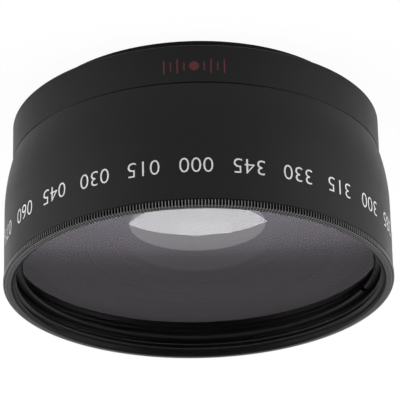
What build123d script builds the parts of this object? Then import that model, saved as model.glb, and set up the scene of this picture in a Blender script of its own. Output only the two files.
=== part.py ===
from build123d import *
from math import cos, pi, sin, sqrt
import os

# Wide-angle conversion lens that stands on its rear thread, front glass up.
# Millimetres. Z is the optical axis and the origin is the middle of the rear end.

# Outside heights
total_height = 30.0
rear_thread_length = 2.7
macro_ring_height = 6.35
barrel_curve_height = 8.6

# Fine threads, left plain here: each wall lies at the root of its thread
thread_pitch = 0.75
thread_depth = 0.45
rear_thread_radius = 26.0
filter_thread_radius = 29.0
filter_thread_length = 2.0
filter_relief_depth = 0.35
filter_relief_length = 0.6
joint_thread_turns = 4

# Walls round the threads
rim_wall = 0.75
barrel_wall = 1.45
rear_shoulder = 3.2
rear_wall = 1.55
socket_wall = 1.7
spigot_wall = 3.05

# Knurl on the front rim
knurl_band = 0.95
knurl_rise = 0.1
knurl_pitch = 0.4925
knurl_depth = 0.5
knurl_run_out = 0.2
knurl_groove = 0.2

# Edge breaks
edge_break = 0.15
seam_break = 0.12
mouth_break = 0.3

# Front glass, a negative meniscus
front_glass_depth = 3.04
front_glass_crown = 600.0
front_glass_hollow = 33.0
front_glass_middle = 3.0
front_glass_hollow_radius = 21.0
front_glass_ledge = 0.7
front_glass_shoulder = 1.25
front_glass_seat = 2.2

# Ring that holds the front glass
ring_bore_step = 0.4
ring_bore_spare = 0.41
front_ring_width = 0.9
front_ring_height = 1.54
front_ring_break = 0.25

# Macro cell at the rear
rear_opening_depth = 0.9
cell_wall = 1.3
cell_dish_rise = 1.9
cell_lip = 0.6
cell_lip_width = 3.5
cell_lip_bevel = 0.6
macro_glass_radius = 17.5
macro_glass_edge = 2.2
macro_glass_bevel = 1.1
macro_glass_front = 140.0
macro_glass_rear = 60.0
macro_ring_thread = 0.6
macro_retainer_height = 2.2
macro_retainer_depth = 1.2
macro_retainer_flare = 0.8

# Spanner slots, the same in both retaining rings
slot_width = 1.2
slot_depth = 0.8
front_slot_angle = -19.0
macro_slot_angle = 35.0

# Clearances
glass_clearance = 0.1
ring_clearance = 0.1
spigot_end_clearance = 0.15

# Places that follow from the sizes above
barrel_radius = filter_thread_radius + barrel_wall
knurl_radius = barrel_radius + knurl_rise
rim_radius = filter_thread_radius + rim_wall
knurl_count = round(2 * pi * knurl_radius / knurl_pitch)
knurl_start = total_height - knurl_band
filter_thread_end = total_height - mouth_break - filter_thread_length
filter_relief_radius = filter_thread_radius + filter_relief_depth
front_bore_floor = filter_thread_end - filter_relief_length

rear_core_radius = rear_thread_radius - thread_depth
rear_opening_radius = rear_core_radius - rear_wall
macro_ring_radius = rear_thread_radius + rear_shoulder
joint_thread_radius = macro_ring_radius - socket_wall
spigot_radius = joint_thread_radius - thread_depth
seam_height = rear_thread_length + macro_ring_height
spigot_length = joint_thread_turns * thread_pitch
spigot_end = seam_height - spigot_length
socket_floor = spigot_end - spigot_end_clearance


def sag(radius, height):
    """How far a sphere of this radius falls away at this height off the axis."""
    return radius - sqrt(radius**2 - height**2)


ring_bore_radius = filter_thread_radius - ring_bore_step
front_ring_radius = ring_bore_radius - ring_clearance
front_ring_inner_radius = front_ring_radius - front_ring_width
front_glass_radius = front_ring_inner_radius - glass_clearance
front_glass_edge_radius = front_glass_radius + front_glass_ledge
glass_bore_radius = front_glass_edge_radius + glass_clearance
air_space_radius = front_glass_edge_radius - front_glass_seat
air_space_rear_radius = spigot_radius - spigot_wall

glass_rim_height = total_height - front_glass_depth
glass_crown_height = glass_rim_height + sag(front_glass_crown, front_glass_radius)
hollow_top_height = glass_crown_height - front_glass_middle
glass_seat_height = hollow_top_height - sag(front_glass_hollow, front_glass_hollow_radius)
shoulder_height = glass_rim_height - front_glass_shoulder
front_ring_top = shoulder_height + front_ring_height
ring_bore_floor = shoulder_height - ring_bore_spare

dish_top = rear_opening_depth + cell_dish_rise
retainer_bottom = dish_top + macro_retainer_depth
macro_rear_height = retainer_bottom + macro_retainer_height
macro_seat_height = macro_rear_height + macro_glass_edge
cell_top = macro_seat_height + cell_lip
cell_clear_radius = macro_glass_radius - cell_lip_width
lip_seat_radius = cell_clear_radius + cell_lip_bevel
macro_front_radius = lip_seat_radius - glass_clearance
macro_rear_radius = macro_glass_radius - macro_glass_bevel
macro_bore_radius = macro_glass_radius + glass_clearance
retainer_bore_radius = macro_bore_radius + macro_ring_thread
retainer_radius = retainer_bore_radius - ring_clearance
retainer_inner_radius = macro_rear_radius + glass_clearance
cell_radius = retainer_bore_radius + cell_wall

os.makedirs("parts", exist_ok=True)


def spanner_slots(ring_face, ring_radius, angle, depth):
    """Two slots across a face of a retaining ring, opposite each other. A depth below 0 cuts downwards."""
    with BuildSketch(Plane.XY.offset(ring_face)) as slots:
        Rectangle(2 * ring_radius + slot_width, slot_width, rotation=angle)
    extrude(slots.sketch, amount=depth, mode=Mode.SUBTRACT)


def knurl_points():
    """Corners of the straight V teeth, tip and root in turn."""
    step = pi / knurl_count
    for index in range(2 * knurl_count):
        radius = knurl_radius - knurl_depth * (index % 2)
        yield radius * cos(index * step), radius * sin(index * step)


# Knurled rim: straight V teeth that run out through the front chamfer
with BuildPart() as knurled_rim:
    with BuildSketch(Plane.XY.offset(knurl_start)):
        Polygon(*knurl_points(), align=None)
        Circle(filter_thread_radius, mode=Mode.SUBTRACT)
    extrude(amount=knurl_band)
    with BuildSketch(Plane.XZ):
        with BuildLine():
            Polyline(
                (rim_radius, total_height),
                (knurl_radius, total_height - knurl_run_out),
                (knurl_radius + edge_break, total_height - knurl_run_out),
                (knurl_radius + edge_break, total_height),
                close=True,
            )
        make_face()
        with BuildLine():
            Polyline(
                (filter_thread_radius, total_height),
                (filter_thread_radius + mouth_break, total_height),
                (filter_thread_radius, total_height - mouth_break),
                close=True,
            )
        make_face()
    revolve(axis=Axis.Z, mode=Mode.SUBTRACT)

# Barrel: one turned piece with the knurled rim, the filter thread, the glass seat and the rear spigot
with BuildPart() as front_barrel:
    with BuildSketch(Plane.XZ):
        with BuildLine():
            curve_end = (barrel_radius, seam_height + barrel_curve_height)
            curve_start = (macro_ring_radius, seam_height + seam_break)
            Polyline(
                (air_space_rear_radius, spigot_end),
                (spigot_radius - edge_break, spigot_end),
                (spigot_radius, spigot_end + edge_break),
                (spigot_radius, seam_height),
                (macro_ring_radius - seam_break, seam_height),
                curve_start,
            )
            TangentArc(curve_end, curve_start, tangent=(0, -1))
            Polyline(
                curve_end,
                (barrel_radius, knurl_start - knurl_groove),
                (barrel_radius - knurl_groove, knurl_start),
                (filter_thread_radius, knurl_start),
                (filter_thread_radius, filter_thread_end),
                (filter_relief_radius, filter_thread_end - filter_relief_depth),
                (filter_relief_radius, front_bore_floor),
                (ring_bore_radius, front_bore_floor),
                (ring_bore_radius, ring_bore_floor),
                (glass_bore_radius, ring_bore_floor),
                (glass_bore_radius, glass_seat_height),
                (air_space_radius, glass_seat_height),
                (air_space_rear_radius, spigot_end),
            )
        make_face()
    revolve(axis=Axis.Z)
    add(knurled_rim.part)
front_barrel.part.label = "front_barrel"

# Front glass: a shallow crown in front, a deep hollow behind and a shoulder for its ring
with BuildPart() as front_lens:
    with BuildSketch(Plane.XZ):
        with BuildLine():
            RadiusArc((0, glass_crown_height), (front_glass_radius, glass_rim_height), front_glass_crown)
            Polyline(
                (front_glass_radius, glass_rim_height),
                (front_glass_radius, shoulder_height),
                (front_glass_edge_radius, shoulder_height),
                (front_glass_edge_radius, glass_seat_height),
                (front_glass_hollow_radius, glass_seat_height),
            )
            RadiusArc(
                (front_glass_hollow_radius, glass_seat_height),
                (0, hollow_top_height),
                -front_glass_hollow,
            )
            Line((0, hollow_top_height), (0, glass_crown_height))
        make_face()
    revolve(axis=Axis.Z)
front_lens.part.label = "front_lens"

# Ring screwed down on the shoulder of the front glass
with BuildPart() as front_retaining_ring:
    with BuildSketch(Plane.XZ):
        with BuildLine():
            Polyline(
                (front_ring_inner_radius, shoulder_height),
                (front_ring_radius, shoulder_height),
                (front_ring_radius, front_ring_top),
                (front_ring_inner_radius + front_ring_break, front_ring_top),
                (front_ring_inner_radius, front_ring_top - front_ring_break),
                close=True,
            )
        make_face()
    revolve(axis=Axis.Z)
    spanner_slots(front_ring_top, front_ring_radius, front_slot_angle, -slot_depth)
front_retaining_ring.part.label = "front_retaining_ring"

# Macro ring: one turned piece with the rear thread, the socket for the spigot and the glass cell
with BuildPart() as macro_ring:
    with BuildSketch(Plane.XZ):
        with BuildLine():
            Polyline(
                (rear_opening_radius, 0),
                (rear_core_radius - edge_break, 0),
                (rear_core_radius, edge_break),
                (rear_core_radius, rear_thread_length),
                (macro_ring_radius - edge_break, rear_thread_length),
                (macro_ring_radius, rear_thread_length + edge_break),
                (macro_ring_radius, seam_height - seam_break),
                (macro_ring_radius - seam_break, seam_height),
                (joint_thread_radius + seam_break, seam_height),
                (joint_thread_radius, seam_height - seam_break),
                (joint_thread_radius, socket_floor),
                (cell_radius, socket_floor),
                (cell_radius, cell_top),
                (cell_clear_radius, cell_top),
                (lip_seat_radius, macro_seat_height),
                (macro_bore_radius, macro_seat_height),
                (macro_bore_radius, macro_rear_height),
                (retainer_bore_radius, macro_rear_height),
                (retainer_bore_radius, dish_top),
                (rear_opening_radius, rear_opening_depth),
                close=True,
            )
        make_face()
    revolve(axis=Axis.Z)
macro_ring.part.label = "macro_ring"

# Macro glass: bulges both ways, with flats ground round both faces where it is held
with BuildPart() as macro_lens:
    with BuildSketch(Plane.XZ):
        macro_top = macro_seat_height + sag(macro_glass_front, macro_front_radius)
        macro_bottom = macro_rear_height - sag(macro_glass_rear, macro_rear_radius)
        with BuildLine():
            RadiusArc((0, macro_top), (macro_front_radius, macro_seat_height), macro_glass_front)
            Polyline(
                (macro_front_radius, macro_seat_height),
                (macro_glass_radius, macro_seat_height),
                (macro_glass_radius, macro_rear_height),
                (macro_rear_radius, macro_rear_height),
            )
            RadiusArc((macro_rear_radius, macro_rear_height), (0, macro_bottom), macro_glass_rear)
            Line((0, macro_bottom), (0, macro_top))
        make_face()
    revolve(axis=Axis.Z)
macro_lens.part.label = "macro_lens"

# Ring screwed in from the rear that holds the macro glass up against the lip of its cell
with BuildPart() as macro_retaining_ring:
    with BuildSketch(Plane.XZ):
        with BuildLine():
            Polyline(
                (retainer_inner_radius, macro_rear_height),
                (retainer_radius, macro_rear_height),
                (retainer_radius, retainer_bottom),
                (retainer_inner_radius + macro_retainer_flare, retainer_bottom),
                close=True,
            )
        make_face()
    revolve(axis=Axis.Z)
    spanner_slots(retainer_bottom, retainer_radius, macro_slot_angle, slot_depth)
macro_retaining_ring.part.label = "macro_retaining_ring"

pieces = (
    front_barrel,
    front_lens,
    front_retaining_ring,
    macro_ring,
    macro_lens,
    macro_retaining_ring,
)
for piece in pieces:
    export_step(piece.part, f"parts/{piece.part.label}.step")
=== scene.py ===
from math import cos, hypot, pi, radians, sin, sqrt, tan, tau

import bmesh
import bpy
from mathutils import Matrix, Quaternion, Vector

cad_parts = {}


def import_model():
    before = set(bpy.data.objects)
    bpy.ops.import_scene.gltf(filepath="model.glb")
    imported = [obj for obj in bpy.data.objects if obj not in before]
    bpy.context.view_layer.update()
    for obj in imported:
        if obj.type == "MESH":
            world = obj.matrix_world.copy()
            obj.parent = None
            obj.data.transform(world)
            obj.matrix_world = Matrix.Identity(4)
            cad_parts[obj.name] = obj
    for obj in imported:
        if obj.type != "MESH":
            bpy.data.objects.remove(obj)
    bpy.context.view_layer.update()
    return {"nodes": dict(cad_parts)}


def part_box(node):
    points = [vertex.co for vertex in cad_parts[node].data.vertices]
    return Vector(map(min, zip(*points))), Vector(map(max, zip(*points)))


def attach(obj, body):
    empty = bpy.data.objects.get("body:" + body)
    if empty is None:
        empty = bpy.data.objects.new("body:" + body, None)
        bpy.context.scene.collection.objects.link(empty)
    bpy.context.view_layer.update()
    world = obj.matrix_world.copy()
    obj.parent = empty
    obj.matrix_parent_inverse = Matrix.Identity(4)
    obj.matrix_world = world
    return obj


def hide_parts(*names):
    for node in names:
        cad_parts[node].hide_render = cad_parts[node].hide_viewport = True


# Looks of a wide-angle conversion lens: anodised metal, coated glass, threads, marks, studio
# and camera. Metres. The lens stands on its rear thread with the front glass up, and Z is
# the optical axis.
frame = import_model()

MM = 0.001

# Front glass, the same form as its CAD solid
glass_crown_curve = 600 * MM
glass_hollow_curve = 33 * MM
glass_hollow_radius = 21 * MM
glass_face_radius = 27.5 * MM
glass_shoulder = 1.25 * MM
glass_hollow_steps = 48
glass_crown_steps = 24

# Macro glass, the same form as its CAD solid
macro_front_curve = 140 * MM
macro_rear_curve = 60 * MM
macro_front_radius = 14.5 * MM
macro_rear_radius = 16.4 * MM
macro_edge = 2.2 * MM
macro_rear_steps = 32
macro_front_steps = 24

# Glass and its coating, whose film is in nanometres
glass_index = 1.6
film_index = 1.38
coating_film = 128

# Round meshes: faces round the axis, and the angle from which an edge is sharp
lens_segments = 256
thread_segments = 180
sharp_angle = radians(25)
same_point = 1e-9

# Threads: 60 degree flanks, 0.75 mm pitch, crests cut flat, a fifth of a turn to fade out
pitch = 0.75 * MM
thread_angle = radians(60)
crest_flat = pitch / 8
buried = 0.02 * MM
fade_turns = 0.2
least_ridge = 0.06
rear_thread = {"root": 25.55 * MM, "crest": 26.0 * MM, "low": 0.45 * MM, "high": 2.4 * MM}
filter_thread = {"root": 29.0 * MM, "crest": 28.55 * MM, "low": 27.9 * MM, "high": 29.5 * MM}
spigot_thread = {"root": 27.05 * MM, "crest": 27.45 * MM, "low": 6.5 * MM, "high": 8.7 * MM}
socket_thread = {"root": 27.5 * MM, "crest": 27.1 * MM, "low": 6.5 * MM - pitch / 2,
                 "high": 8.7 * MM}

# Printed marks
barrel_radius = 30.45 * MM
macro_ring_radius = 29.2 * MM
mark_thickness = 0.02 * MM
mark_buried = mark_thickness / 4
number_bottom = 22.2 * MM
number_height = 2.4 * MM
number_step = 15
stroke_cut = 0.012

# Index on the macro ring: its dot, and the degrees and share of the height of its ticks
index_middle = 6.3 * MM
index_height = 2.4 * MM
index_dot_radius = 0.32 * index_height
index_ticks = ((3, 0.6), (5, 1), (7, 0.6), (9, 1))
tick_width = 0.22 * MM
tick_strips = 4
dot_corners = 28

# Knurl: its teeth reach out to the crests, and run out inwards over a land. The crests and the
# land carry painted highlights, and stripes across the land carry painted shade where the teeth
# run out
knurl_start = 29.05 * MM
knurl_root_radius = 30.05 * MM
knurl_crest_radius = 30.43 * MM
knurl_land_radius = 29.32 * MM
knurl_land_slope = 0.5
knurl_count = 390
knurl_gap_shade_share = 0.3

# Crests of the front filter thread, which carry a painted highlight
thread_crest_radius = 28.6 * MM
thread_crest_low = 27.8 * MM

# Inner walls inside these radii are painted black
barrel_paint_radius = 28.4 * MM
macro_paint_radius = 25 * MM

# Grain of the dyed metal: turned lines, a faint mottle and a fine grain
line_spacing = 0.09 * MM
line_detail = 3
mottle_scale = 260
mottle_detail = 4
grain_scale = 9000
grain_detail = 2
grain_range = (0.6, 1.4)
grain_shade = (0.75, 1.3)
grain_rough = (0.88, 1.12)
grain_bump = 0.25
metal_index = 1.4

# Wear of the paint in the marks
wear_scale = 2600
wear_detail = 5
wear_range = (0.3, 0.7)
wear_shade = (0.86, 1.04)
wear_bump = 0.2
paint_specular = 0.2
bump_height = 0.004 * MM

# Finishes
dyed_metal = {"tone": (0.001, 0.001, 0.0011), "roughness": 0.42, "specular": 0.25}
matt_ring = {"tone": (0.006, 0.006, 0.0062), "roughness": 0.4, "specular": 0.15}
blackened_edge = {"tone": (0.004, 0.004, 0.004), "roughness": 0.5, "specular": 0.1}
# Painted highlights: lighter tones on the knurl's crests and on its flat land
knurl_crest_highlight = (0.15, 0.15, 0.152)
knurl_land_highlight = (0.075, 0.075, 0.076)
knurl_roughness = 0.4
knurl_specular_tint = (0.4, 0.4, 0.4)
# Painted highlight on the crests of the front filter thread
thread_crest_highlight = (0.016, 0.016, 0.0162)
# Black for the painted shade of the knurl's land stripes, and for the real black paint inside
# the barrel and the macro ring
deep_black = (0.002, 0.002, 0.002)
no_shine = (0.0, 0.0, 0.0)
inside_roughness = 0.8
white_fill = (0.38, 0.38, 0.385)
red_fill = (0.05, 0.008, 0.01)
fill_roughness = 0.5

# Camera, fitted to the photograph
camera_place = Vector((0, -404.92, 203.44)) * MM
camera_aim = Vector((-0.476, 0, 14.99)) * MM
camera_roll = radians(178.722)
camera_lens = 253.45
camera_sensor = 36

# Floor: what glass shows of it and of the sky, its own tone, and how white the camera sees it
floor_reach = 2.5
floor_tone = (0.8, 0.8, 0.8, 1)
floor_white_share = 0.95
under_lens_glow = 0.105
through_glass_sky = 0.1

# Tent: strength at each elevation in degrees, times a share that grows towards the back
tent_radius = 1.45
tent_brightest = 2.5
tent_steps = ((0, 0.1), (15, 0.25), (19.5, 0.34), (22, 0.48), (24, 0.55), (25.5, 0.76),
              (27, 1.45), (28.5, 2), (31, 2.5), (36, 1.5), (45, 0.5), (90, 0.4))
tent_depth_range = (-0.6, 0.7)
tent_depth_share = (0.4, 1.12)

# Light panel over the near half: its far edge, from the middle out, and its near corners
panel_height = 427 * MM
panel_middle = -25 * MM
panel_bend = Vector((300, -62)) * MM
panel_side = Vector((1500, -345)) * MM
panel_near = -620 * MM
panel_glow = 6.1

# Brighter sheet hung just below it, from one corner to the other
sheet_height = 425 * MM
sheet_low = Vector((-225, -190)) * MM
sheet_high = Vector((122, -40)) * MM
sheet_glow = 7.1

# Softboxes, aimed at the middle of the lens: name, place, width, height, watts, and whether
# metal mirrors it
lens_middle = Vector((0, 0, 15)) * MM
softboxes = (
    ("left_softbox", Vector((-0.62, -0.2, 0.16)), 0.6, 0.3, 7.2, True),
    ("right_softbox", Vector((0.62, -0.2, 0.16)), 0.6, 0.3, 7.0, True),
    ("top_softbox", Vector((0, 0, 0.95)), 0.9, 0.9, 3.5, False),
)


def piece(name, mesh, body):
    """A mesh as an object of the lens that moves with a CAD body."""
    made = bpy.data.objects.new(name, mesh)
    bpy.context.scene.collection.objects.link(made)
    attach(made, body)
    return made


def finished(name, build):
    """The mesh of a bmesh, with its faces turned outwards."""
    bmesh.ops.recalc_face_normals(build, faces=build.faces)
    mesh = bpy.data.meshes.new(name)
    build.to_mesh(mesh)
    build.free()
    return mesh


def arc(curve, start, end, height, steps):
    """Points (radius, height) of a sphere's section between two radii. height is at the axis."""
    points = []
    for index in range(steps + 1):
        r = start + (end - start) * index / steps
        points.append((r, height - curve + sqrt(curve**2 - r**2)))
    return points


def sag(curve, radius):
    """How far a sphere falls away at this distance from the axis."""
    return curve - sqrt(curve**2 - radius**2)


def ring_of(build, r, z, segments):
    """Points round the axis, or one point where the ring has shrunk to it."""
    if r < same_point:
        return [build.verts.new((0, 0, z))]
    turns = [tau * i / segments for i in range(segments)]
    return [build.verts.new((r * cos(turn), r * sin(turn), z)) for turn in turns]


def turned(name, runs, segments=lens_segments):
    """A closed solid of revolution from runs of (points, material number), end to end."""
    build = bmesh.new()
    last = None
    for points, number in runs:
        for r, z in points:
            if last and abs(last[0] - r) < same_point and abs(last[1] - z) < same_point:
                continue
            ring = ring_of(build, r, z, segments)
            if last:
                join_rings(build, last[2], ring, number)
            last = (r, z, ring)
    mesh = finished(name, build)
    mesh.set_sharp_from_angle(angle=sharp_angle)
    return mesh


def join_rings(build, lower, upper, number):
    """Faces between two rings of points, either of which may be one point on the axis."""
    count = max(len(lower), len(upper))
    for i in range(count):
        j = (i + 1) % count
        corners = [lower[i % len(lower)], lower[j % len(lower)],
                   upper[j % len(upper)], upper[i % len(upper)]]
        face = build.faces.new(list(dict.fromkeys(corners)))
        face.material_index = number
        face.smooth = True


def thread(name, root, crest, low, high, segments=thread_segments):
    """A right-hand helical ridge on the wall at root, which fades into the wall at both ends."""
    build = bmesh.new()
    outward = 1 if crest > root else -1
    foot = root - outward * buried
    depth = abs(crest - root)
    turns = (high - low) / pitch
    steps = round(turns * segments)
    fade = segments * fade_turns
    flank = tan(thread_angle / 2)
    sections = []
    for step in range(steps + 1):
        share = max(least_ridge, min(1, step / fade, (steps - step) / fade))
        top = root + outward * depth * share
        half_top = (crest_flat + depth * (1 - share) * flank) / 2
        half_foot = half_top + abs(top - foot) * flank
        angle = tau * step / segments
        z = low + pitch * step / segments
        outline = ((foot, -half_foot), (top, -half_top), (top, half_top), (foot, half_foot))
        sections.append([build.verts.new((r * cos(angle), r * sin(angle), z + dz))
                         for r, dz in outline])
    for near, far in zip(sections, sections[1:]):
        join_rings(build, near, far, 0)
    build.faces.new(sections[0])
    build.faces.new(sections[-1])
    mesh = finished(name, build)
    mesh.set_sharp_from_angle(angle=sharp_angle)
    return mesh


def wrapped(build, points, faces, radius, angle, height):
    """Adds flat artwork, (across, up, out), bent round a cylinder at this angle from -Y."""
    made = []
    for across, up, out in points:
        turn = angle + across / radius - pi / 2
        r = radius + out
        made.append(build.verts.new((r * cos(turn), r * sin(turn), height + up)))
    for corners in faces:
        build.faces.new([made[c] for c in corners])


def plate(outline):
    """A thin closed plate from a flat outline, as points and faces for wrapped()."""
    count = len(outline)
    points = [(x, y, -mark_buried) for x, y in outline]
    points += [(x, y, mark_thickness) for x, y in outline]
    faces = [tuple(range(count))[::-1], tuple(range(count, 2 * count))]
    faces += [(i, (i + 1) % count, (i + 1) % count + count, i + count) for i in range(count)]
    return points, faces


def bar(width, height):
    """A plate with square corners, split along its width so that it bends."""
    lower = [(width * (i / tick_strips - 0.5), -height / 2) for i in range(tick_strips + 1)]
    return plate(lower + [(x, -y) for x, y in reversed(lower)])


def disc(radius):
    """A round plate."""
    turns = [tau * i / dot_corners for i in range(dot_corners)]
    return plate([(radius * cos(turn), radius * sin(turn)) for turn in turns])


def digits(text, height):
    """Points and faces of a plain number, centred, of this height."""
    font = bpy.data.curves.new("digits", "FONT")
    font.body = text
    font.align_x = "CENTER"
    font.resolution_u = 3
    font.extrude = mark_thickness / 2
    font.offset = -stroke_cut
    holder = bpy.data.objects.new("digits", font)
    bpy.context.scene.collection.objects.link(holder)
    bpy.context.view_layer.update()
    flat = bpy.data.meshes.new_from_object(holder)
    top = max(v.co.y for v in flat.vertices)
    low = min(v.co.y for v in flat.vertices)
    scale = height / (top - low)
    points = [(v.co.x * scale, (v.co.y - low) * scale, v.co.z + mark_buried)
              for v in flat.vertices]
    faces = [tuple(p.vertices) for p in flat.polygons]
    bpy.data.objects.remove(holder)
    bpy.data.curves.remove(font)
    bpy.data.meshes.remove(flat)
    return points, faces


def adder(tree):
    """A maker of nodes in this tree. Inputs are values, or sockets that are linked."""
    def add(kind, inputs=(), **settings):
        node = tree.nodes.new(kind)
        for key, value in settings.items():
            setattr(node, key, value)
        for key, value in dict(inputs).items():
            if isinstance(value, bpy.types.NodeSocket):
                tree.links.new(value, node.inputs[key])
            else:
                node.inputs[key].default_value = value
        return node

    return add


def nodes_of(material):
    """The node tree of a material, its Principled shader and a maker of linked nodes."""
    material.use_nodes = True
    tree = material.node_tree
    return tree, tree.nodes["Principled BSDF"], adder(tree)


def maths(add, operation, first, second=0.0):
    """The result of a sum or a test of two values or sockets."""
    return add("ShaderNodeMath", {0: first, 1: second}, operation=operation).outputs[0]


def spread(add, value, source, target):
    """A value mapped from one range to another."""
    inputs = {0: value, 1: source[0], 2: source[1], 3: target[0], 4: target[1]}
    return add("ShaderNodeMapRange", inputs).outputs[0]


def noise(add, scale, detail):
    """A noise in the piece's own space."""
    place = add("ShaderNodeTexCoord")
    inputs = {0: place.outputs["Object"], "Scale": scale, "Detail": detail}
    return add("ShaderNodeTexNoise", inputs).outputs[0]


def axis_place(add):
    """Sockets of a point's x and y, its distance from the optical axis and its height."""
    place = add("ShaderNodeTexCoord")
    x, y, z = add("ShaderNodeSeparateXYZ", {0: place.outputs["Object"]}).outputs
    flat = add("ShaderNodeCombineXYZ", {0: x, 1: y})
    radius = add("ShaderNodeVectorMath", {0: flat.outputs[0]}, operation="LENGTH")
    return x, y, radius.outputs["Value"], z


def turning_marks(add):
    """A noise that runs round the axis as the fine lines of a lathe tool do."""
    _, _, radius, height = axis_place(add)
    along = maths(add, "ADD", radius, height)
    scaled = maths(add, "MULTIPLY", along, 1 / line_spacing)
    inputs = {"W": scaled, "Scale": 1, "Detail": line_detail}
    return add("ShaderNodeTexNoise", inputs, noise_dimensions="1D").outputs[0]


def shade_and_bump(tree, shader, add, tone, shade, bump, relief):
    """Links a tone that varies with the shade, and a fine bump."""
    colour = add("ShaderNodeVectorMath", {0: tone, "Scale": shade}, operation="SCALE")
    tree.links.new(colour.outputs[0], shader.inputs["Base Color"])
    raised = add("ShaderNodeBump", {"Strength": bump, "Distance": bump_height, "Height": relief})
    tree.links.new(raised.outputs[0], shader.inputs["Normal"])


def anodised(name, tone, roughness, specular):
    """Dyed anodised aluminium: black, with fine turned lines and a faint mottle."""
    material = bpy.data.materials.new(name)
    tree, shader, add = nodes_of(material)
    lines = turning_marks(add)
    blend = maths(add, "ADD", lines, noise(add, mottle_scale, mottle_detail))
    relief = maths(add, "ADD", lines, noise(add, grain_scale, grain_detail))
    shade = spread(add, blend, grain_range, grain_shade)
    shade_and_bump(tree, shader, add, tone, shade, grain_bump, relief)
    low_rough, high_rough = (roughness * share for share in grain_rough)
    rough = spread(add, blend, grain_range, (low_rough, high_rough))
    tree.links.new(rough, shader.inputs["Roughness"])
    shader.inputs["IOR"].default_value = metal_index
    shader.inputs["Specular IOR Level"].default_value = specular
    return material


def paint(name, tone):
    """Filled or printed paint with a slightly worn, uneven cover."""
    material = bpy.data.materials.new(name)
    tree, shader, add = nodes_of(material)
    wear = noise(add, wear_scale, wear_detail)
    shade = spread(add, wear, wear_range, wear_shade)
    shade_and_bump(tree, shader, add, tone, shade, wear_bump, wear)
    shader.inputs["Roughness"].default_value = fill_roughness
    shader.inputs["Specular IOR Level"].default_value = paint_specular
    return material


def glass(name, film=0):
    """Polished glass. film is the coating's thickness in nanometres."""
    material = bpy.data.materials.new(name)
    _, shader, _ = nodes_of(material)
    shader.inputs["Base Color"].default_value = (1, 1, 1, 1)
    shader.inputs["Roughness"].default_value = 0
    shader.inputs["Transmission Weight"].default_value = 1
    shader.inputs["IOR"].default_value = glass_index
    shader.inputs["Thin Film Thickness"].default_value = film
    shader.inputs["Thin Film IOR"].default_value = film_index
    return material


def masked(tree, node, add, mask, looks):
    """Gives the node's inputs other values, floats or colours, where the mask is 1."""
    for name, value in looks.items():
        socket = node.inputs[name]
        if isinstance(value, tuple):
            mixed = add("ShaderNodeMix", {0: mask}, data_type="RGBA")
            before, after, result = mixed.inputs[6], mixed.inputs[7], mixed.outputs[2]
            value = (*value, 1)
        else:
            mixed = add("ShaderNodeMix", {0: mask}, data_type="FLOAT")
            before, after, result = mixed.inputs[2], mixed.inputs[3], mixed.outputs[0]
        if socket.is_linked:
            tree.links.new(socket.links[0].from_socket, before)
        else:
            before.default_value = socket.default_value
        after.default_value = value
        tree.links.new(result, socket)


def paint_knurl_light_and_shade(material):
    """Painted highlights on the knurl's crests and on the land, and painted shade in dark
    stripes where the teeth run out.
    """
    tree, shader, add = nodes_of(material)
    x, y, radius, height = axis_place(add)
    above = maths(add, "GREATER_THAN", height, knurl_start)
    rim = maths(add, "MULTIPLY", above, maths(add, "GREATER_THAN", radius, knurl_land_radius))
    outer = maths(add, "GREATER_THAN", radius, knurl_crest_radius)
    # Painted highlight: the knurl's crests get a lighter tone
    crest_highlight_mask = maths(add, "MULTIPLY", above, outer)
    normal = add("ShaderNodeNewGeometry").outputs["Normal"]
    upward = add("ShaderNodeSeparateXYZ", {0: normal}).outputs[2]
    level = maths(add, "GREATER_THAN", upward, knurl_land_slope)
    # Painted highlight: the up-facing land gets a lighter tone
    land_highlight_mask = maths(add, "MULTIPLY", rim, level)
    turn = maths(add, "ARCTAN2", y, x)
    tooth = maths(add, "FRACT", maths(add, "MULTIPLY", turn, knurl_count / tau))
    off_root = maths(add, "ABSOLUTE", maths(add, "SUBTRACT", tooth, 0.5))
    # Painted shade: black stripes with no reflection across the land, where the teeth run out
    gap_shade_stripes = maths(add, "MULTIPLY", rim, maths(add, "LESS_THAN", off_root, knurl_gap_shade_share))
    inner = maths(add, "LESS_THAN", radius, knurl_root_radius)
    land_gap_shade_mask = maths(add, "MULTIPLY", gap_shade_stripes, inner)
    for mask, looks in (
        (rim, {"Roughness": knurl_roughness, "Specular Tint": knurl_specular_tint}),
        (crest_highlight_mask, {"Base Color": knurl_crest_highlight}),
        (land_highlight_mask, {"Base Color": knurl_land_highlight}),
        (land_gap_shade_mask, {"Base Color": deep_black, "Specular Tint": no_shine}),
    ):
        masked(tree, shader, add, mask, looks)


def paint_thread_highlight(material):
    """A painted highlight: a lighter tone on the crests of the front filter thread."""
    tree, shader, add = nodes_of(material)
    _, _, radius, height = axis_place(add)
    inside = maths(add, "LESS_THAN", radius, thread_crest_radius)
    above = maths(add, "GREATER_THAN", height, thread_crest_low)
    both = maths(add, "MULTIPLY", inside, above)
    masked(tree, shader, add, both, {"Base Color": thread_crest_highlight})


def blacken_inside(material, reach):
    """Dull black paint on the inner walls, out to this radius, against stray light."""
    tree, shader, add = nodes_of(material)
    _, _, radius, _ = axis_place(add)
    inside = maths(add, "LESS_THAN", radius, reach)
    looks = {"Base Color": deep_black, "Roughness": inside_roughness, "Specular Tint": no_shine}
    masked(tree, shader, add, inside, looks)
    bump = shader.inputs["Normal"].links[0].from_node
    masked(tree, bump, add, inside, {"Strength": 0.0})


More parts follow.
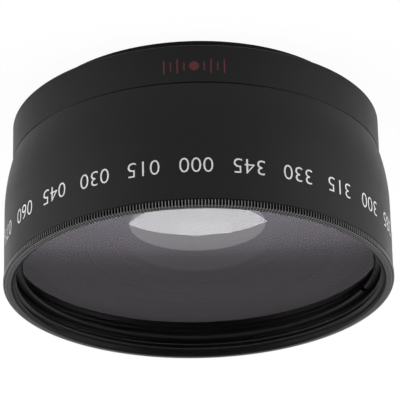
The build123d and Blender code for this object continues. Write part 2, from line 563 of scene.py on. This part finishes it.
def dress_metal():
    """Materials of the turned pieces that stay as the CAD made them."""
    barrel = anodised("satin_black_barrel", **dyed_metal)
    macro = anodised("satin_black_macro_ring", **dyed_metal)
    ring = anodised("matt_black_ring", **matt_ring)
    paint_knurl_light_and_shade(barrel)
    paint_thread_highlight(barrel)
    blacken_inside(barrel, barrel_paint_radius)
    blacken_inside(macro, macro_paint_radius)
    for node, material in (("front_barrel", barrel), ("macro_ring", macro),
                           ("front_retaining_ring", ring), ("macro_retaining_ring", ring)):
        frame["nodes"][node].data.materials.clear()
        frame["nodes"][node].data.materials.append(material)
    return barrel, macro


def high_radius(node):
    """The largest radius of a CAD node about the optical axis."""
    return max(hypot(v.co.x, v.co.y) for v in frame["nodes"][node].data.vertices)


def front_glass():
    """The front glass: coated crown, plain hollow, edge and seat painted black."""
    low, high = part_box("front_lens")
    edge = high_radius("front_lens")
    rim = high.z - sag(glass_crown_curve, glass_face_radius)
    hollow_top = low.z + sag(glass_hollow_curve, glass_hollow_radius)
    hollow = arc(glass_hollow_curve, 0, glass_hollow_radius, hollow_top, glass_hollow_steps)
    crown = arc(glass_crown_curve, glass_face_radius, 0, high.z, glass_crown_steps)
    mount = [(glass_hollow_radius, low.z), (edge, low.z), (edge, rim - glass_shoulder),
             (glass_face_radius, rim - glass_shoulder), (glass_face_radius, rim)]
    mesh = turned("front_glass", [(hollow, 1), (mount, 2), (crown, 0)])
    mesh.materials.append(glass("coated_front", coating_film))
    mesh.materials.append(glass("polished_hollow"))
    mesh.materials.append(anodised("edge_black", **blackened_edge))
    made = piece("front_glass", mesh, "front_glass_carrier")
    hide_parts("front_lens")


def macro_glass():
    """The macro glass: bulges both ways, with a blackened ground edge."""
    low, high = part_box("macro_lens")
    edge = high_radius("macro_lens")
    seat = high.z - sag(macro_front_curve, macro_front_radius)
    rear = arc(macro_rear_curve, 0, macro_rear_radius, low.z, macro_rear_steps)
    back = [(r, 2 * low.z - z) for r, z in rear]
    rim = [(macro_rear_radius, seat - macro_edge), (edge, seat - macro_edge), (edge, seat),
           (macro_front_radius, seat)]
    front = arc(macro_front_curve, macro_front_radius, 0, high.z, macro_front_steps)
    mesh = turned("macro_glass", [(back, 0), (rim, 1), (front, 0)])
    mesh.materials.append(glass("macro_polish", coating_film))
    mesh.materials.append(anodised("macro_edge_black", **blackened_edge))
    made = piece("macro_glass", mesh, "macro_unit")
    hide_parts("macro_lens")


def threads(barrel_finish, macro_finish):
    """The fine threads, each on the body that it is cut in."""
    for name, sizes, body, slot, finish in (
        ("rear_filter_thread", rear_thread, "macro_unit", "anodised_macro_ring", macro_finish),
        ("front_filter_thread", filter_thread, "front_unit", "anodised_barrel", barrel_finish),
        ("spigot_thread", spigot_thread, "front_unit", "anodised_barrel", barrel_finish),
        ("socket_thread", socket_thread, "macro_unit", "anodised_macro_ring", macro_finish),
    ):
        mesh = thread(name, **sizes)
        mesh.materials.append(finish)
        piece(name, mesh, body)


def barrel_numbers():
    """White degrees round the barrel, in three figures."""
    build = bmesh.new()
    for degrees in range(0, 360, number_step):
        points, faces = digits(f"{degrees:03}", number_height)
        wrapped(build, points, faces, barrel_radius, radians(degrees), number_bottom)
    bmesh.ops.remove_doubles(build, verts=build.verts, dist=0.001 * MM)
    mesh = finished("barrel_numbers", build)
    mesh.materials.append(paint("white_fill", white_fill))
    piece("barrel_numbers", mesh, "front_unit")


def macro_index():
    """A red index on the macro ring: a dot between ticks."""
    build = bmesh.new()
    points, faces = disc(index_dot_radius)
    wrapped(build, points, faces, macro_ring_radius, 0, index_middle)
    for degrees, share in index_ticks:
        for side in (-1, 1):
            points, faces = bar(tick_width, index_height * share)
            turn = radians(side * degrees)
            wrapped(build, points, faces, macro_ring_radius, turn, index_middle)
    mesh = finished("macro_index", build)
    mesh.materials.append(paint("red_fill", red_fill))
    piece("macro_index", mesh, "macro_unit")


def stage_object(name, mesh, material):
    """A mesh of the studio, which isn't part of the lens."""
    made = bpy.data.objects.new(name, mesh)
    made.data.materials.append(material)
    bpy.context.scene.collection.objects.link(made)
    return made


def empty_material(name):
    """A material with no nodes yet, and a maker of nodes for it."""
    material = bpy.data.materials.new(name)
    material.use_nodes = True
    material.node_tree.nodes.clear()
    return material, adder(material.node_tree)


def floor():
    """A plain pale floor that shows white and keeps the lens's shadow."""
    material, add = empty_material("floor")
    path = add("ShaderNodeLightPath").outputs
    strength = maths(add, "MAXIMUM", path["Is Camera Ray"], under_lens_glow)
    white = add("ShaderNodeEmission", {"Strength": strength})
    pale = add("ShaderNodeBsdfDiffuse", {0: floor_tone})
    inputs = {0: path["Is Camera Ray"], 1: floor_white_share, 2: path["Is Transmission Ray"]}
    share = add("ShaderNodeMath", inputs, operation="MULTIPLY_ADD").outputs[0]
    mix = add("ShaderNodeMixShader", {0: share, 1: pale.outputs[0], 2: white.outputs[0]})
    add("ShaderNodeOutputMaterial", {0: mix.outputs[0]})
    mesh = bpy.data.meshes.new("floor")
    corners = [(-floor_reach, -floor_reach, 0), (floor_reach, -floor_reach, 0),
               (floor_reach, floor_reach, 0), (-floor_reach, floor_reach, 0)]
    mesh.from_pydata(corners, [], [(0, 1, 2, 3)])
    stage_object("floor", mesh, material)


def tent_material():
    """The tent's light, by elevation and by how far back a point lies."""
    material, add = empty_material("tent_glow")
    place = add("ShaderNodeTexCoord")
    unit = add("ShaderNodeVectorMath", {0: place.outputs["Object"]}, operation="NORMALIZE")
    _, back, up = add("ShaderNodeSeparateXYZ", {0: unit.outputs[0]}).outputs
    ramp = add("ShaderNodeFloatCurve", {"Value": up})
    curve = ramp.mapping.curves[0]
    places = [(sin(radians(degrees)), glow / tent_brightest) for degrees, glow in tent_steps]
    curve.points[0].location = places[0]
    curve.points[-1].location = places[-1]
    for at in places[1:-1]:
        curve.points.new(*at)
    ramp.mapping.update()
    levels = [share * tent_brightest for share in tent_depth_share]
    depth = spread(add, back, tent_depth_range, levels)
    strength = maths(add, "MULTIPLY", ramp.outputs[0], depth)
    light = add("ShaderNodeEmission", {"Strength": strength})
    add("ShaderNodeOutputMaterial", {0: light.outputs[0]})
    return material


def tent():
    """A light tent that shows in the metal and on the glass, but not to the camera."""
    build = bmesh.new()
    bmesh.ops.create_uvsphere(build, u_segments=64, v_segments=48, radius=tent_radius)
    below = [v for v in build.verts if v.co.z < -MM]
    bmesh.ops.delete(build, geom=below, context="VERTS")
    mesh = bpy.data.meshes.new("tent")
    build.to_mesh(mesh)
    build.free()
    made = stage_object("tent", mesh, tent_material())
    made.visible_camera = False
    made.visible_transmission = False
    made.visible_shadow = False


def glass_light(name, outline, height, glow):
    """A flat light, from its outline at this height, that only shows through the glass."""
    material, add = empty_material(name)
    light = add("ShaderNodeEmission", {"Strength": glow})
    add("ShaderNodeOutputMaterial", {0: light.outputs[0]})
    mesh = bpy.data.meshes.new(name)
    mesh.from_pydata([(x, y, height) for x, y in outline], [], [tuple(range(len(outline)))])
    made = stage_object(name, mesh, material)
    made.visible_camera = False
    made.visible_diffuse = False
    made.visible_glossy = False
    made.visible_shadow = False


def front_panels():
    """A bright panel, whose far edge is the arc that shows in the hollow, and its sheet."""
    far_edge = [(panel_side.x, panel_side.y), (panel_bend.x, panel_bend.y), (0, panel_middle),
                (-panel_bend.x, panel_bend.y), (-panel_side.x, panel_side.y)]
    near_edge = [(-panel_side.x, panel_near), (panel_side.x, panel_near)]
    glass_light("front_panel", far_edge + near_edge, panel_height, panel_glow)
    sheet = [(sheet_low.x, sheet_low.y), (sheet_high.x, sheet_low.y),
             (sheet_high.x, sheet_high.y), (sheet_low.x, sheet_high.y)]
    glass_light("front_sheet", sheet, sheet_height, sheet_glow)


def softbox(name, place, width, height, power, shows):
    """A rectangular studio light. shows is False where metal must not mirror it."""
    lamp = bpy.data.lights.new(name, "AREA")
    lamp.shape = "RECTANGLE"
    lamp.size = width
    lamp.size_y = height
    lamp.energy = power
    made = bpy.data.objects.new(name, lamp)
    bpy.context.scene.collection.objects.link(made)
    made.location = place
    made.rotation_mode = "QUATERNION"
    made.rotation_quaternion = (lens_middle - place).to_track_quat("-Z", "Y")
    made.visible_camera = False
    made.visible_transmission = False
    made.visible_glossy = shows


def world():
    """White, but dim where it is seen through the glass."""
    made = bpy.data.worlds.new("studio")
    made.use_nodes = True
    tree = made.node_tree
    add = adder(tree)
    seen = add("ShaderNodeLightPath").outputs["Is Transmission Ray"]
    strength = spread(add, seen, (0, 1), (1, through_glass_sky))
    sky = tree.nodes["Background"]
    sky.inputs[0].default_value = (1, 1, 1, 1)
    tree.links.new(strength, sky.inputs[1])
    bpy.context.scene.world = made


def camera():
    """The camera of the photograph, which holds the picture upside down."""
    lens = bpy.data.cameras.new("camera")
    lens.sensor_width = camera_sensor
    lens.lens = camera_lens
    made = bpy.data.objects.new("camera", lens)
    bpy.context.scene.collection.objects.link(made)
    made.location = camera_place
    made.rotation_mode = "QUATERNION"
    facing = (camera_aim - camera_place).to_track_quat("-Z", "Y")
    made.rotation_quaternion = facing @ Quaternion((0, 0, 1), camera_roll)
    bpy.context.scene.camera = made


barrel_finish, macro_finish = dress_metal()
front_glass()
macro_glass()
threads(barrel_finish, macro_finish)
barrel_numbers()
macro_index()
floor()
tent()
front_panels()
for box in softboxes:
    softbox(*box)
world()
camera()
bpy.context.scene.view_settings.view_transform = "Standard"
